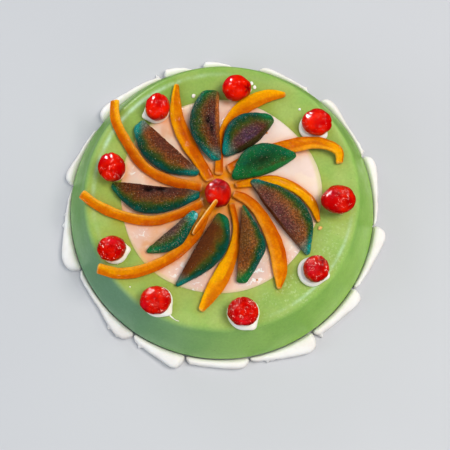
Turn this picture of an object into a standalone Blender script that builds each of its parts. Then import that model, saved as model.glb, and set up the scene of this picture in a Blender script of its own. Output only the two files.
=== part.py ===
"""Cassata: a round Sicilian cake, modelled in metres, standing on z = 0 with its axis on the Z axis.

A sponge and ricotta cake under green almond paste. A disc of pale icing lies in its top, with a
pinwheel of candied orange peel and green candied fruit round one cherry. Nine more cherries on
drops of cream stand near the rim, and fourteen strokes of white icing run round the foot.
"""

import math

import bmesh
import bpy
from mathutils import Vector, noise

MM = 0.001

# Driving dimensions
FOOT_RADIUS = 126.9 * MM      # widest green, just above the white border
CREST_RADIUS = 104.5 * MM     # top of the raised rim
CREST_HEIGHT = 48.3 * MM
SHOULDER = 6.5 * MM           # rounding between the rim and the wall
WALL_LEAN = math.radians(25)  # of the wall from upright
TOP_LEVEL = 47.5 * MM         # the flat top inside the rim
BORDER_HEIGHT = 9 * MM        # below this the foot is hidden by the white border
ICING_RADIUS = 79 * MM
ICING_CENTRE = Vector((-2 * MM, 0, 0))
ICING_DEPTH = 1.2 * MM        # sunk into the almond paste
ICING_TOP = 47.8 * MM
PEEL_THICKNESS = 4.4 * MM
GAP = 0.3 * MM                # left between pieces that touch

REST_LEVEL = ICING_TOP + GAP  # where the fruit lies
RIM_REST_RADIUS = 92 * MM     # past this the fruit lies on the rim
RIM_RISE = 0.7 * MM

TURNS = 72                    # faces round the cake


def finish(name, mesh, colour, roughness):
    """An object from a bmesh, smooth but for its creases, with its own material."""
    bmesh.ops.recalc_face_normals(mesh, faces=mesh.faces)
    data = bpy.data.meshes.new(name)
    mesh.to_mesh(data)
    mesh.free()
    data.shade_smooth()
    data.set_sharp_from_angle(angle=math.radians(50))
    material = bpy.data.materials.new(name)
    material.use_nodes = True
    shader = material.node_tree.nodes["Principled BSDF"]
    shader.inputs["Base Color"].default_value = (*colour, 1)
    shader.inputs["Roughness"].default_value = roughness
    data.materials.append(material)
    piece = bpy.data.objects.new(name, data)
    bpy.context.scene.collection.objects.link(piece)
    return piece


def loft(rings):
    """A closed bmesh over rings of points, all of one length, with a flat face at each end."""
    mesh = bmesh.new()
    loops = [[mesh.verts.new(point) for point in ring] for ring in rings]
    for near, far in zip(loops, loops[1:]):
        for i, corner in enumerate(near):
            j = (i + 1) % len(near)
            mesh.faces.new((corner, near[j], far[j], far[i]))
    mesh.faces.new(loops[0])
    mesh.faces.new(loops[-1])
    return mesh


def smooth_value(values, t):
    """The value at t, from 0 to 1, of a smooth curve through evenly spaced values or vectors."""
    place = min(max(t, 0), 1) * (len(values) - 1)
    i = min(int(place), len(values) - 2)
    f = place - i
    here, there = values[i], values[i + 1]
    before = values[i - 1] if i > 0 else here * 2 - there
    after = values[i + 2] if i + 2 < len(values) else there * 2 - here
    return (
        here
        + (there - before) * (0.5 * f)
        + (before * 2 - here * 5 + there * 4 - after) * (0.5 * f * f)
        + (here * 3 - before - there * 3 + after) * (0.5 * f * f * f)
    )


def polar(radius, angle, height=0.0):
    return Vector((radius * math.cos(angle), radius * math.sin(angle), height))


def cut(piece, cutter):
    """Takes a cutter away from a piece, keeps the largest body that is left, and drops the cutter."""
    cutter.hide_render = True
    cutter.display_type = "WIRE"
    step = piece.modifiers.new("cut", "BOOLEAN")
    step.operation = "DIFFERENCE"
    step.object = cutter
    graph = bpy.context.evaluated_depsgraph_get()
    data = bpy.data.meshes.new_from_object(piece.evaluated_get(graph))
    piece.modifiers.clear()
    piece.data = data
    bpy.data.objects.remove(cutter)
    mesh = bmesh.new()
    mesh.from_mesh(data)
    left = set(mesh.verts)
    bodies = []
    while left:
        body = [left.pop()]
        for vertex in body:
            for edge in vertex.link_edges:
                other = edge.other_vert(vertex)
                if other in left:
                    left.remove(other)
                    body.append(other)
        bodies.append(body)
    bodies.sort(key=len)
    for scrap in bodies[:-1]:
        bmesh.ops.delete(mesh, geom=scrap, context="VERTS")
    mesh.to_mesh(data)
    mesh.free()


def press(upper, lower):
    """Dents the upper piece where the lower one lies under it, with a gap between them."""
    mesh = bmesh.new()
    mesh.from_mesh(lower.data)
    mesh.normal_update()
    for vertex in mesh.verts:
        vertex.co += vertex.normal * (GAP * 1.4)
    cut(upper, finish(lower.name + "_swollen", mesh, (1, 1, 1), 0.5))


# ---------------------------------------------------------------- cake and icing


def icing_outline(grow, height):
    """The edge of the poured icing, a circle that wavers a little."""
    ring = []
    for i in range(TURNS):
        angle = math.tau * i / TURNS
        waver = 1.2 * math.cos(3 * angle - 0.5) + 0.8 * math.sin(5 * angle + 1.0)
        ring.append(ICING_CENTRE + polar(ICING_RADIUS + grow + waver * MM, angle, height))
    return ring


def cake_profile():
    """Radius and height down the outside, from the flat top to the foot."""
    profile = [(88 * MM, TOP_LEVEL), (97 * MM, TOP_LEVEL + 0.25 * MM)]
    arc_height = CREST_HEIGHT - SHOULDER
    for angle in (90, 72, 54, 38, 25):
        turn = math.radians(angle)
        radius = CREST_RADIUS + SHOULDER * math.cos(turn)
        height = arc_height + SHOULDER * math.sin(turn)
        profile.append((radius, height))
    for level in (27 * MM, BORDER_HEIGHT):
        profile.append((radius + (height - level) * math.tan(WALL_LEAN), level))
    profile += [(FOOT_RADIUS - 0.6 * MM, 4.5 * MM), (FOOT_RADIUS - 4.5 * MM, 0)]
    return profile


def make_cake():
    rings = []
    for radius, height in cake_profile():
        rings.append([polar(radius, math.tau * i / TURNS, height) for i in range(TURNS)])
    cake = finish("cake_body", loft(rings), (0.35, 0.55, 0.17), 0.4)
    floor = TOP_LEVEL - ICING_DEPTH
    recess = loft([icing_outline(GAP, floor), icing_outline(GAP, TOP_LEVEL + 5 * MM)])
    cut(cake, finish("recess", recess, (1, 1, 1), 0.5))


def make_icing():
    floor = TOP_LEVEL - ICING_DEPTH + GAP
    edge = ICING_TOP - 0.5 * MM
    rings = [icing_outline(0, floor), icing_outline(0, edge), icing_outline(-1.5 * MM, ICING_TOP)]
    finish("icing_disc", loft(rings), (0.87, 0.68, 0.55), 0.25)


# ---------------------------------------------------------------- white border at the foot

# Each stroke, going clockwise seen from above: azimuth in degrees of its head and of its tail, and
# how far it reaches from the cake's axis at its head, its middle and its tail, in millimetres
STROKES = (
    (171, 147, 136, 131.5, 130.5), (143, 114.5, 137, 133.5, 132), (113, 101.5, 135, 133.5, 130),
    (97.5, 86, 134, 133, 130), (75.5, 54, 133.3, 132, 131), (48.3, 21, 135.5, 131, 131.5),
    (20.3, -6.7, 137, 133, 131), (-7.2, -32, 139.3, 134.5, 132), (-32.5, -54.7, 138.8, 135.3, 134),
    (-55.3, -79.8, 141.2, 135.5, 131.5), (-80.3, -103, 135.3, 133.5, 133),
    (-103.5, -123.5, 139.3, 135.5, 132.5), (-124, -155.3, 137.8, 131.5, 131.5),
    (-155.8, -188.5, 140, 133, 129.5),
)
# Along a stroke: place, then the shares of its width at the head, the middle and the tail
STROKE_STATIONS = (
    (0, 0.42, 0, 0), (0.04, 0.8, 0, 0), (0.1, 0.97, 0, 0), (0.18, 1, 0, 0), (0.32, 0.62, 0.38, 0),
    (0.5, 0.1, 0.9, 0), (0.75, 0, 0.5, 0.5), (0.93, 0, 0, 1), (1, 0, 0, 0.55),
)
STROKE_SECTION = 9
HEAD_WIDTH = 12 * MM          # of a full head, which stands HEAD_HEIGHT high
HEAD_HEIGHT = 12 * MM
TAIL_HEIGHT = 5.5 * MM


def make_border():
    inner = FOOT_RADIUS + GAP
    for number, (head, tail, *reaches) in enumerate(STROKES, 1):
        widths = [reach * MM - inner for reach in reaches]
        rings = []
        for place, *shares in STROKE_STATIONS:
            azimuth = math.radians(head + (tail - head) * place)
            width = sum(share * each for share, each in zip(shares, widths))
            top = TAIL_HEIGHT + (HEAD_HEIGHT - TAIL_HEIGHT) * min(width / HEAD_WIDTH, 1)
            ring = []
            for i in range(STROKE_SECTION):
                turn = math.tau * (i + 0.5) / STROKE_SECTION - math.pi / 2
                height = max(0, top * (0.42 + 0.58 * math.sin(turn)))
                lean = max(0, height - BORDER_HEIGHT) * math.tan(WALL_LEAN)
                radius = inner + width / 2 * (1 + math.cos(turn)) - lean
                ring.append(polar(radius, azimuth, height))
            rings.append(ring)
        finish(f"border_{number:02}", loft(rings), (0.9, 0.86, 0.78), 0.45)


# ---------------------------------------------------------------- candied orange peel

# Each strip from its outer to its inner end: x, y and width, in millimetres. The last is a narrow
# one that lies on the fourth and leans up against the cherry in the middle.
PEELS = (
    ((-37, 92, 3), (-37.5, 78, 8), (-36, 62, 11), (-29, 44, 12), (-19, 27, 10), (-9, 10, 8)),
    ((-87, 78, 7), (-86, 62, 8), (-78, 45, 8), (-62, 22, 8), (-41, 10, 8), (-15, 4, 7)),
    ((-111, -1, 7), (-97, -11, 8), (-78, -19, 8), (-56, -23, 8), (-35, -18, 7.5), (-14.5, -8, 6)),
    ((-96, -61, 8), (-78, -65, 9), (-57, -61, 9), (-35, -49, 9), (-20.5, -32, 11), (-12, -14.5, 7)),
    ((-16, -94, 4), (-7, -79, 12), (2, -63, 13), (9, -46, 8), (11, -27, 5), (7.5, -8.5, 4.5)),
    ((44, -77, 3), (45, -61, 12), (41, -40, 12), (31, -19, 10), (21, -7, 8), (9, -0.5, 6)),
    ((76, -24, 3), (71, -9, 8), (59, 3, 8), (42, 10, 8), (25, 8.5, 7), (10.5, 6, 5)),
    ((94, 24, 5), (92, 34, 8), (76, 40, 10), (53, 38, 12), (28, 30, 11), (5, 18.5, 9)),
    ((52, 83, 3), (37, 82, 11), (20, 74, 12), (6, 62, 7), (-1, 45, 5), (-2.5, 14.5, 7)),
    ((-22.3, -35.3, 2.5), (-19.2, -31, 4), (-14.1, -24.5, 4), (-9, -17.9, 4), (-3.6, -11, 2.5)),
)
# How far a strip that doesn't lie flat is lifted at each of those places, in millimetres
PEEL_LIFTS = {8: (0, 4, 5, 1, 0, 0), 10: (4.8, 6.6, 10.3, 14, 17.4)}
PEEL_STATIONS = 12
# Across the strip: position from side to side and height, as shares of width and thickness
PEEL_SECTION = (
    (-0.42, 0), (0, 0.02), (0.42, 0), (0.5, 0.3), (0.49, 0.7), (0.4, 0.97), (0, 1.0), (-0.4, 0.97),
    (-0.49, 0.7), (-0.5, 0.3),
)


def resting_height(point, reach=0.0):
    """How high a piece lies that reaches this far round a point, on the icing or on the rim."""
    past = math.hypot(point.x, point.y) + reach - RIM_REST_RADIUS
    return REST_LEVEL + RIM_RISE * min(max(past / (8 * MM), 0), 1)


def make_peels():
    pieces = {}
    for number, route in enumerate(PEELS, 1):
        lifts = PEEL_LIFTS.get(number, [0] * len(route))
        stations = [Vector((*station, lift)) * MM for station, lift in zip(route, lifts)]
        rings = []
        for k in range(PEEL_STATIONS):
            t = k / (PEEL_STATIONS - 1)
            x, y, width, lift = smooth_value(stations, t)
            ahead = smooth_value(stations, min(t + 0.01, 1)) - smooth_value(stations, max(t - 0.01, 0))
            side = Vector((-ahead.y, ahead.x, 0)).normalized()
            middle = Vector((x, y, 0))
            base = resting_height(middle) + max(lift, 0)
            thin = 0.75 if k in (0, PEEL_STATIONS - 1) else 1
            ring = []
            for across, up in PEEL_SECTION:
                height = base + PEEL_THICKNESS * up * thin
                ring.append(middle + side * (across * width) + Vector((0, 0, height)))
            rings.append(ring)
        name = f"peel_{number}"
        pieces[name] = finish(name, loft(rings), (0.8, 0.28, 0.02), 0.3)
    return pieces


# ---------------------------------------------------------------- green candied wedges

# Each wedge, in millimetres: outer and inner end of its core edge, how far that edge bows out,
# widths from there to the skin at even steps from outer to inner end, height, and lift of both ends
WEDGES = (
    ((-2, 87), (0, 26), -1, (14, 22, 25, 20, 8), 11, (0, 2)),
    ((43, 61), (3, 29), 6, (6, 17, 21, 17, 5), 11, (0, 2)),
    ((60, 30), (9, 10), 5, (3, 15, 20, 17, 4), 12, (0, 2)),
    ((66, -51), (22, 8), 2, (4, 20, 23, 17, 5), 11, (0, 2)),
    ((11, -72), (16, -11), 0, (8, 16, 21, 13, 2), 10, (0, 2)),
    ((-36, -74), (-3, -16), 1, (3, 14, 21, 20, 10), 10, (0, 2)),
    ((-59, -47), (-22, -15), 0, (3, 12, 15, 11, 6), 9, (0, 4)),
    ((-87, 9), (-17, 1), 0, (6, 20, 23, 17, 6), 10, (0, 1)),
    ((-64, 62), (-17, 17), 0, (11, 20, 22, 18, 5), 10, (0, 1)),
)
WEDGE_STATIONS = 10
# Across the wedge: from the core edge (0) over the cut face and the ridge to the skin (1), and height
WEDGE_SECTION = (
    (0.05, 0), (0, 0.16), (0.03, 0.48), (0.16, 0.78), (0.44, 0.93), (0.74, 1.0), (0.89, 0.92),
    (0.98, 0.66), (1.0, 0.36), (0.95, 0.12), (0.86, 0),
)


def make_wedges():
    pieces = {}
    for number, (outer, inner, bow, widths, height, lifts) in enumerate(WEDGES, 1):
        start = Vector((*outer, 0)) * MM
        along = Vector((*inner, 0)) * MM - start
        to_skin = Vector((along.y, -along.x, 0)).normalized()
        rings = []
        for k in range(WEDGE_STATIONS):
            t = k / (WEDGE_STATIONS - 1)
            arch = math.sin(math.pi * t)
            core = start + along * t - to_skin * (bow * MM * arch)
            width = smooth_value(widths, t) * MM + bow * MM * arch
            tall = height * MM * (0.42 + 0.58 * arch**0.7)
            base = resting_height(core) + (lifts[0] + (lifts[1] - lifts[0]) * t) * MM
            ring = []
            for across, up in WEDGE_SECTION:
                ring.append(core + to_skin * (across * width) + Vector((0, 0, base + up * tall)))
            rings.append(ring)
        name = f"wedge_{number}"
        pieces[name] = finish(name, loft(rings), (0.03, 0.16, 0.1), 0.4)
    return pieces


# ---------------------------------------------------------------- cherries on drops of cream

# Each cherry, in millimetres: centre x, y, size across, size along y, and height
CENTRE_CHERRY = (-3, -2.6, 21.5, 24.5, 20)
RING_CHERRIES = (
    (12, 85, 24.2, 22.8, 20), (-51.5, 69.5, 20.3, 23.5, 18), (-86.5, 18.5, 22, 25, 19),
    (-84.5, -47, 23, 21.5, 18), (-50, -87, 24.5, 22.8, 18), (16, -95.5, 24.5, 22.8, 18),
    (72, -63, 20.5, 21.8, 18), (90.5, -8.5, 27.8, 25, 20), (75.5, 56, 24.5, 23.5, 19),
)
# Under each of them, in millimetres and degrees: the drop's x, y, radius, and its pulled tip's azimuth
CREAM_DROPS = (
    (13.5, 87.5, 8.3, 0), (-53, 68.5, 10.2, 202), (-86, 18, 9, 80), (-83, -47.5, 10.2, 8),
    (-49, -87, 11.8, -43), (16.5, -96, 12.5, -53), (70, -63.5, 11.6, -17), (89.5, -8, 9, -60),
    (73.5, 55, 11.5, -40),
)
CHERRY_TURNS = 14
CHERRY_RINGS = 8
HOLLOWS = 0.05                # how deep, as a share of a cherry's radius
PIT = 0.1                     # likewise
DROP_TURNS = 16
# Up and over the drop: shares of its radius, of its height and of the tip's pull
DROP_ROWS = (
    (0.9, 0, 0.6), (1, 0.3, 1), (0.93, 0.75, 0.9), (0.82, 1, 0.4), (0.6, 1, 0), (0.3, 1, 0), (0.05, 1, 0),
)
DROP_HEIGHT = 4.6 * MM
DROP_FLOOR = 1.4 * MM         # of cream left under a cherry
TIP_PULL = 2.4 * MM


def make_cherry(name, centre, size):
    """A ball with slight hollows, which never passes its size, and a small pit where the stone went out."""
    rings = []
    for k in range(CHERRY_RINGS + 1):
        tilt = math.pi * (0.06 + 0.88 * k / CHERRY_RINGS)
        ring = []
        for i in range(CHERRY_TURNS):
            way = polar(math.sin(tilt), math.tau * i / CHERRY_TURNS, -math.cos(tilt))
            hollow = HOLLOWS * (0.5 + 0.5 * noise.noise(way * 1.6 + centre * 90))
            if k == CHERRY_RINGS:
                hollow += PIT
            ring.append(centre + Vector(w * s / 2 * (1 - hollow) for w, s in zip(way, size)))
        rings.append(ring)
    return finish(name, loft(rings), (0.6, 0.02, 0.01), 0.15)


def make_drop(name, place, radius, tip, cherry, size):
    """A low round drop of cream, hollowed to hold its cherry, with one tip where the nozzle left it."""
    rings = []
    for share, up, pull in DROP_ROWS:
        ring = []
        for i in range(DROP_TURNS):
            angle = math.tau * i / DROP_TURNS
            turn = (angle - tip + math.pi) % math.tau - math.pi
            reach = radius * share + TIP_PULL * pull * math.exp(-((turn / 0.35) ** 2))
            point = place + polar(reach, angle, DROP_HEIGHT * up)
            if up > 0:
                under = [(point[n] - cherry[n]) / (size[n] / 2 + GAP) for n in (0, 1)]
                inside = max(0, 1 - under[0] ** 2 - under[1] ** 2)
                cup = cherry.z - (size.z / 2 + GAP) * math.sqrt(inside)
                point.z = min(point.z, cup)
            ring.append(point)
        rings.append(ring)
    finish(name, loft(rings), (0.9, 0.86, 0.8), 0.4)


def make_cherries():
    x, y, *size = CENTRE_CHERRY
    size = Vector(size) * MM
    centre = Vector((x * MM, y * MM, REST_LEVEL + size.z / 2))
    pieces = {"cherry_centre": make_cherry("cherry_centre", centre, size)}
    for number, (cherry, drop) in enumerate(zip(RING_CHERRIES, CREAM_DROPS), 1):
        x, y, *size = cherry
        size = Vector(size) * MM
        place = Vector((drop[0] * MM, drop[1] * MM, 0))
        place.z = resting_height(place, drop[2] * MM)
        centre = Vector((x * MM, y * MM, place.z + DROP_FLOOR + GAP + size.z / 2))
        make_cherry(f"cherry_{number}", centre, size)
        make_drop(f"cream_drop_{number}", place, drop[2] * MM, math.radians(drop[3]), centre, size)
    return pieces


# ---------------------------------------------------------------- the whole cake

# Pieces that lie on others: each upper piece takes the shape of what is under it
PRESSED = (
    ("wedge_1", "peel_9"), ("wedge_1", "peel_1"), ("wedge_2", "peel_9"), ("wedge_3", "peel_8"),
    ("wedge_3", "peel_7"), ("wedge_4", "peel_7"), ("wedge_4", "peel_6"), ("wedge_5", "peel_6"),
    ("wedge_5", "peel_5"), ("wedge_6", "peel_5"), ("wedge_6", "peel_4"), ("wedge_7", "peel_3"),
    ("wedge_7", "peel_4"), ("wedge_8", "peel_3"), ("wedge_8", "peel_2"), ("wedge_9", "peel_2"),
    ("wedge_9", "peel_1"),
)


def main():
    for old in list(bpy.data.objects):
        bpy.data.objects.remove(old)
    make_cake()
    make_icing()
    make_border()
    pieces = make_peels()
    pieces.update(make_wedges())
    pieces.update(make_cherries())
    for upper, lower in PRESSED:
        press(pieces[upper], pieces[lower])


main()
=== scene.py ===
"""Looks of the cassata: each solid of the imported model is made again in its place, finely, with its finish.

Lengths here are millimetres, in the frame of the model, and become metres when a mesh is made.
"""

import itertools
import math

import bpy
import numpy as np
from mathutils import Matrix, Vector


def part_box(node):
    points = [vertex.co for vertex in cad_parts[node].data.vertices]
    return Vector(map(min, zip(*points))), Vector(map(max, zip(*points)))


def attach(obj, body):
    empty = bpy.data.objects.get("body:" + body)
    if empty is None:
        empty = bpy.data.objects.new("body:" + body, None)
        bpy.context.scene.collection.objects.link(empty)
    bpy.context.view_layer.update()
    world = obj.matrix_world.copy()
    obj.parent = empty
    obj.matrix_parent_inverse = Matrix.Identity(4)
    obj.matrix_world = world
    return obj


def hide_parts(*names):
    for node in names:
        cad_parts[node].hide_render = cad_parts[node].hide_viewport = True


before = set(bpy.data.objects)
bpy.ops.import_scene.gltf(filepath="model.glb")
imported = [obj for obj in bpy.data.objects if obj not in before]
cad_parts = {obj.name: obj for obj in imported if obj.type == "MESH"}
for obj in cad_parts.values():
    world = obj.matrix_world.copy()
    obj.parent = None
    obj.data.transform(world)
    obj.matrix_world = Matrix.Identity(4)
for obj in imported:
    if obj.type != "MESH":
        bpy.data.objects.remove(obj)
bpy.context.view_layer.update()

MM = 0.001

# -------- driving dimensions, those of the solids

FOOT_RADIUS = 126.9
CREST_RADIUS = 104.5
CREST_HEIGHT = 48.3
SHOULDER = 6.5
WALL_LEAN = math.radians(25)
TOP_LEVEL = 47.5
BORDER_HEIGHT = 9
ICING_RADIUS = 79
ICING_CENTRE = np.array((-2.0, 0, 0))
ICING_DEPTH = 1.2
ICING_TOP = 47.8
PEEL_THICKNESS = 4.4
GAP = 0.3
REST_LEVEL = ICING_TOP + GAP
RIM_REST_RADIUS = 92
RIM_RISE = 0.7


# -------- arrays of points


def spline(values, t):
    """A smooth curve through evenly spaced rows of values, read at each t from 0 to 1."""
    values = np.asarray(values, float)
    place = np.clip(t, 0, 1) * (len(values) - 1)
    i = np.minimum(place.astype(int), len(values) - 2)
    f = (place - i).reshape((-1,) + (1,) * (values.ndim - 1))
    padded = np.concatenate([2 * values[:1] - values[1:2], values, 2 * values[-1:] - values[-2:-1]])
    before, here, there, after = (padded[i + k] for k in range(4))
    return (
        here
        + (there - before) * (0.5 * f)
        + (2 * before - 5 * here + 4 * there - after) * (0.5 * f**2)
        + (3 * here - before - 3 * there + after) * (0.5 * f**3)
    )


def step(low, high, value):
    """0 below low, 1 above high, and smooth between them."""
    share = np.clip((value - low) / (high - low), 0, 1)
    return share * share * (3 - 2 * share)


def hill(value, middle, width):
    """1 at the middle, fading over this width on both sides."""
    return np.exp(-(((value - middle) / width) ** 2))


def lattice(cell, seed):
    """A repeatable number from -1 to 1 for each cell of whole numbers."""
    n = cell[..., 0] * 374761393 + cell[..., 1] * 668265263 + cell[..., 2] * 974634777 + seed * 1274126177
    n = (n ^ (n >> 13)) * 1274126177
    return ((n ^ (n >> 16)) & 0xFFFF) / 32767.5 - 1


def bumps(points, size, seed):
    """Smooth noise from -1 to 1 at each point, with bumps of about this size."""
    place = points / size + 1000
    cell = np.floor(place).astype(np.int64)
    f = place - cell
    f = f * f * (3 - 2 * f)
    total = np.zeros(points.shape[:-1])
    for corner in itertools.product((0, 1), repeat=3):
        weight = np.prod(np.where(corner, f, 1 - f), axis=-1)
        total += weight * lattice(cell + np.array(corner), seed)
    return total


def rough(points, size, seed, layers):
    """Bumps with finer and lower bumps on them."""
    return sum(bumps(points, size / 2**k, seed + 17 * k) / 2**k for k in range(layers))


def unit(vectors):
    return vectors / np.maximum(np.linalg.norm(vectors, axis=-1, keepdims=True), 1e-9)


def outward(rings):
    """Normals of closed rings of points, pointing away from the middle of each ring."""
    along = np.gradient(rings, axis=0)
    around = np.roll(rings, -1, axis=1) - np.roll(rings, 1, axis=1)
    normal = unit(np.cross(along, around))
    middle = rings.mean(axis=1, keepdims=True)
    facing = np.sign((normal * (rings - middle)).sum(axis=(1, 2)))
    return normal * facing[:, None, None]


def polar(radius, angle, height):
    parts = np.broadcast_arrays(radius * np.cos(angle), radius * np.sin(angle), height)
    return np.stack(parts, axis=-1)


def circle(count, shift=0.0):
    """Angles evenly round a circle, all shifted by a share of their spacing."""
    return (np.arange(count) + shift) / count * math.tau


def bearing(points):
    """The azimuth of each point on the cake, in degrees from 0 to 360."""
    return np.degrees(np.arctan2(points[..., 1], points[..., 0])) % 360


def aim(azimuth, elevation):
    """The direction with this azimuth and elevation in degrees."""
    rise = math.radians(elevation)
    return polar(math.cos(rise), math.radians(azimuth), math.sin(rise))


def end_rows(count, length, end):
    """Shares of a length for its rows: evenly spaced, with finer rows in the last stretch at both ends."""
    fine = end / length * (1 - np.cos(np.linspace(0, math.pi / 2, 5)))
    middle = np.linspace(fine[-1], 1 - fine[-1], count)
    return np.concatenate([fine[:-1], middle, 1 - fine[-2::-1]])


def round_ends(rings, t, length, end, blunt):
    """Draws the last stretch at both ends together round its middle, down to the share called blunt."""
    for near in (t, 1 - t):
        depth = np.clip(near * length / end, 0, 1)
        share = blunt + (1 - blunt) * np.sqrt(1 - (1 - depth) ** 2)
        middle = rings.mean(axis=1, keepdims=True)
        rings = middle + (rings - middle) * share[:, None, None]
    return rings


# -------- meshes


def make_piece(name, rings, material, node=None, marks=None):
    """A closed piece over rings of points, which rides on the cake and stands for a node of the model.

    The marks are shares from 0 to 1, one for each point, that its material reads.
    """
    rows, columns = rings.shape[:2]
    points = np.concatenate([rings.reshape(-1, 3), [rings[0].mean(0), rings[-1].mean(0)]])
    index = np.arange(rows * columns).reshape(rows, columns)
    beside = np.roll(index, -1, axis=1)
    quads = np.stack([index[:-1], beside[:-1], beside[1:], index[1:]], axis=-1).reshape(-1, 4)
    first, last = rows * columns, rows * columns + 1
    caps = [(first, b, a) for a, b in zip(index[0], beside[0])]
    caps += [(last, a, b) for a, b in zip(index[-1], beside[-1])]
    corners = points[quads]
    centre = points.mean(0)
    spans = np.cross(corners[:, 2] - corners[:, 0], corners[:, 3] - corners[:, 1])
    faces = quads.tolist() + caps
    if (spans * (corners.mean(1) - centre)).sum() < 0:
        faces = [face[::-1] for face in faces]
    values = {}
    for key, mark in (marks or {}).items():
        mark = np.clip(np.broadcast_to(mark, index.shape), 0, 1)
        values[key] = np.concatenate([mark.ravel(), [mark[0].mean(), mark[-1].mean()]])
    place_mesh(name, points, faces, material, node, values)


def add_object(name, data):
    thing = bpy.data.objects.new(name, data)
    bpy.context.scene.collection.objects.link(thing)
    return thing


def place_mesh(name, points, faces, material, node=None, marks=None):
    """An object with this mesh, which rides on the cake."""
    mesh = bpy.data.meshes.new(name)
    mesh.from_pydata(np.asarray(points) * MM, [], faces)
    mesh.shade_smooth()
    for key, values in (marks or {}).items():
        attribute = mesh.attributes.new(key, "FLOAT", "POINT")
        attribute.data.foreach_set("value", np.asarray(values, np.float32))
    mesh.materials.append(material)
    piece = add_object(name, mesh)
    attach(piece, "root")
    if node:
        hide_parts(node)
    return piece


# -------- finishes


def colour(red, green, blue):
    """A colour given as it looks on a screen, 0 to 255, in the renderer's own linear values."""
    values = [value / 255 for value in (red, green, blue)]
    return tuple(v / 12.92 if v <= 0.04045 else ((v + 0.055) / 1.055) ** 2.4 for v in values) + (1,)


class Finish:
    """A material built from nodes, with short calls for the kinds of node used here."""

    def __init__(self, name, glow=None, glow_share=0.15, glow_reach=3.0, **shader):
        """The glow is how far red, green and blue light each spread under the surface, as parts of its
        reach in millimetres. Its share is how much of the light does so."""
        self.material = bpy.data.materials.new(name)
        self.material.use_nodes = True
        self.tree = self.material.node_tree
        self.shader = self.tree.nodes["Principled BSDF"]
        if glow:
            shader.update(Subsurface_Weight=glow_share, Subsurface_Radius=glow)
            shader.update(Subsurface_Scale=glow_reach * MM)
        for key, value in shader.items():
            self.shader.inputs[key.replace("_", " ")].default_value = value
        self.place = self.add("ShaderNodeTexCoord").outputs["Object"]

    def add(self, kind, inputs=None, **settings):
        node = self.tree.nodes.new(kind)
        for key, value in settings.items():
            setattr(node, key, value)
        for key, value in (inputs or {}).items():
            if isinstance(value, bpy.types.NodeSocket):
                self.tree.links.new(value, node.inputs[key])
            else:
                node.inputs[key].default_value = value
        return node

    def mark(self, name):
        return self.add("ShaderNodeAttribute", attribute_name=name).outputs["Fac"]

    def grain(self, size, detail=3.0, rough=0.55, warp=0.0):
        """Noise from 0 to 1 with features of about this size in millimetres."""
        inputs = {"Vector": self.place, "Scale": 0.5 / (size * MM), "Detail": detail}
        inputs.update(Roughness=rough, Distortion=warp)
        return self.add("ShaderNodeTexNoise", inputs).outputs["Fac"]

    def cells(self, size):
        """Distance to the nearest point of a loose pattern, spaced about this far apart."""
        inputs = {"Vector": self.place, "Scale": 1 / (size * MM)}
        return self.add("ShaderNodeTexVoronoi", inputs).outputs["Distance"]

    def spread(self, value, low, high, start=0.0, end=1.0):
        """Spreads what a value does from low to high over start to end."""
        inputs = {0: value, 1: low, 2: high, 3: start, 4: end}
        return self.add("ShaderNodeMapRange", inputs, interpolation_type="SMOOTHSTEP").outputs[0]

    def patches(self, size, low=0.35, high=0.65, start=0.0, end=1.0):
        """Grain, with its middle values spread over start to end."""
        return self.spread(self.grain(size), low, high, start, end)

    def combine(self, operation, first, second):
        """Two values put together by a sum or product, and kept from 0 to 1."""
        inputs = {0: first, 1: second}
        return self.add("ShaderNodeMath", inputs, operation=operation, use_clamp=True).outputs[0]

    def times(self, first, second):
        return self.combine("MULTIPLY", first, second)

    def blend(self, share, first, second, kind="MIX"):
        node = self.add("ShaderNodeMix", {0: share, 6: first, 7: second}, data_type="RGBA", blend_type=kind)
        return node.outputs[2]

    def paint(self, base, *layers):
        """Colours over a base colour or over what is painted so far. Each layer gives how much of it
        shows, as a value or the name of a mark, and then its red, green and blue."""
        shade = colour(*base) if isinstance(base, tuple) else base
        for share, *tone in layers:
            share = self.mark(share) if isinstance(share, str) else share
            shade = self.blend(share, shade, colour(*tone))
        return shade

    def broken(self, mark, size, low, high, start):
        """A mark that is weaker, down to the share called start, between patches of this size."""
        return self.times(self.mark(mark), self.patches(size, low, high, start))

    def ramp(self, value, stops):
        """Colours along a value. Each stop gives its place and then its red, green and blue."""
        node = self.add("ShaderNodeValToRGB", {0: value})
        elements = node.color_ramp.elements
        while len(elements) < len(stops):
            elements.new(0.5)
        for element, (place, *tone) in zip(elements, stops):
            element.position = place
            element.color = colour(*tone)
        return node.outputs[0]

    def relief(self, height, depth, over=None):
        """Bumps of this depth in millimetres where the height goes from 0 to 1."""
        inputs = {"Height": height, "Distance": depth * MM, "Strength": 1.0}
        if over:
            inputs["Normal"] = over
        return self.add("ShaderNodeBump", inputs).outputs["Normal"]

    def set(self, shade, **links):
        for key, value in {"Base_Color": shade, **links}.items():
            self.tree.links.new(value, self.shader.inputs[key.replace("_", " ")])
        return self.material


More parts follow.
